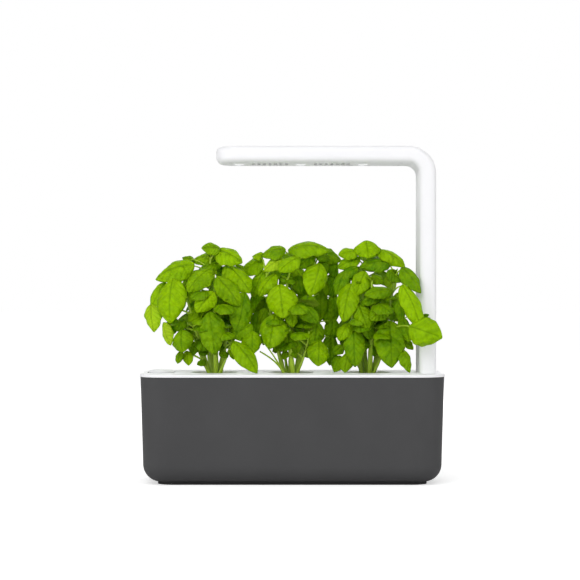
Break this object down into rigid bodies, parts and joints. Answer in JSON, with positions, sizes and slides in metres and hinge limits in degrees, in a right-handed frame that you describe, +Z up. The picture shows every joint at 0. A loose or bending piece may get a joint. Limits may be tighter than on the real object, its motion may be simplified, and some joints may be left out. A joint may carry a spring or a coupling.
{
  "type": "countertop hydroponic garden",
  "caption": "Countertop hydroponic garden: water tank, lid with basil pods and float gauge, and a raised grow-lamp arm built from stacked extensions.",
  "frame": {"origin": "on the table, under the middle of the lid", "axes": "+Z up; +X towards the end that carries the lamp arm; -Y is the front"},
  "size_m": [0.3, 0.125, 0.3332],
  "materials": {
    "tank_plastic": "satin dark grey moulded plastic",
    "foot_rubber": "matt black rubber",
    "white_plastic": "satin white moulded plastic",
    "black_plastic": "matt black moulded plastic",
    "contact_brass": "bright brass",
    "screw_steel": "zinc-plated steel",
    "lead_insulation": "soft black insulation",
    "float_foam": "closed-cell foam",
    "lens_plastic": "frosted clear lens",
    "chip_ceramic": "phosphor on ceramic",
    "board_laminate": "solder-masked laminate",
    "spreader_aluminium": "mill-finish sheet",
    "growing_medium": "dark fibrous peat",
    "wick_felt": "white felt",
    "collar_paper": "uncoated paper",
    "basil_leaf": "smooth waxy leaf"
  },
  "bodies": {
    "base": {"water_tank": "tank_plastic", "base_ring": "foot_rubber"},
    "lid": {"lid": "white_plastic", "arm_socket": "white_plastic", "socket_contacts": "contact_brass", "wiring_bay": "white_plastic", "wiring_bay_screws": "screw_steel", "power_jack": "black_plastic", "jack_pin": "contact_brass", "lid_lead": "lead_insulation", "float_guide": "white_plastic"},
    "float": {"float_cap": "white_plastic", "float_body": "float_foam"},
    "pod_1": {"plant_cup_1": "white_plastic", "growing_medium_1": "growing_medium", "wick_1": "wick_felt", "pod_collar_1": "collar_paper", "basil_plant_1": "basil_leaf"},
    "pod_2": {"plant_cup_2": "white_plastic", "growing_medium_2": "growing_medium", "wick_2": "wick_felt", "pod_collar_2": "collar_paper", "basil_plant_2": "basil_leaf"},
    "pod_3": {"plant_cup_3": "white_plastic", "growing_medium_3": "growing_medium", "wick_3": "wick_felt", "pod_collar_3": "collar_paper", "basil_plant_3": "basil_leaf"},
    "lower_arm": {"lower_extension": "white_plastic", "lower_extension_core": "white_plastic", "lower_extension_contacts": "contact_brass"},
    "upper_arm": {"upper_extension": "white_plastic", "upper_extension_core": "white_plastic", "upper_extension_contacts": "contact_brass"},
    "lamp": {"lamp_housing": "white_plastic", "lamp_core": "white_plastic", "lamp_contacts": "contact_brass", "lamp_lead": "lead_insulation", "lamp_cover": "white_plastic", "lamp_cover_screws": "screw_steel", "light_lenses": "lens_plastic", "light_chips": "chip_ceramic", "light_board": "board_laminate", "heat_spreader": "spreader_aluminium", "timer_board": "board_laminate"}
  },
  "joints": [
    {"name": "lid_lift", "type": "slide", "parent": "base", "child": "lid", "axis": [0, 0, 1], "range_m": [0, 0.1]},
    {"name": "float_travel", "type": "slide", "parent": "lid", "child": "float", "axis": [0, 0, 1], "range_m": [-0.03, 0]},
    {"name": "pod_1_lift", "type": "slide", "parent": "lid", "child": "pod_1", "axis": [0, 0, 1], "range_m": [0, 0.06]},
    {"name": "pod_2_lift", "type": "slide", "parent": "lid", "child": "pod_2", "axis": [0, 0, 1], "range_m": [0, 0.06]},
    {"name": "pod_3_lift", "type": "slide", "parent": "lid", "child": "pod_3", "axis": [0, 0, 1], "range_m": [0, 0.06]},
    {"name": "lower_arm_lift", "type": "slide", "parent": "lid", "child": "lower_arm", "axis": [0, 0, 1], "range_m": [0, 0.02]},
    {"name": "upper_arm_lift", "type": "slide", "parent": "lower_arm", "child": "upper_arm", "axis": [0, 0, 1], "range_m": [0, 0.02]},
    {"name": "lamp_lift", "type": "slide", "parent": "upper_arm", "child": "lamp", "axis": [0, 0, 1], "range_m": [0, 0.02]}
  ]
}
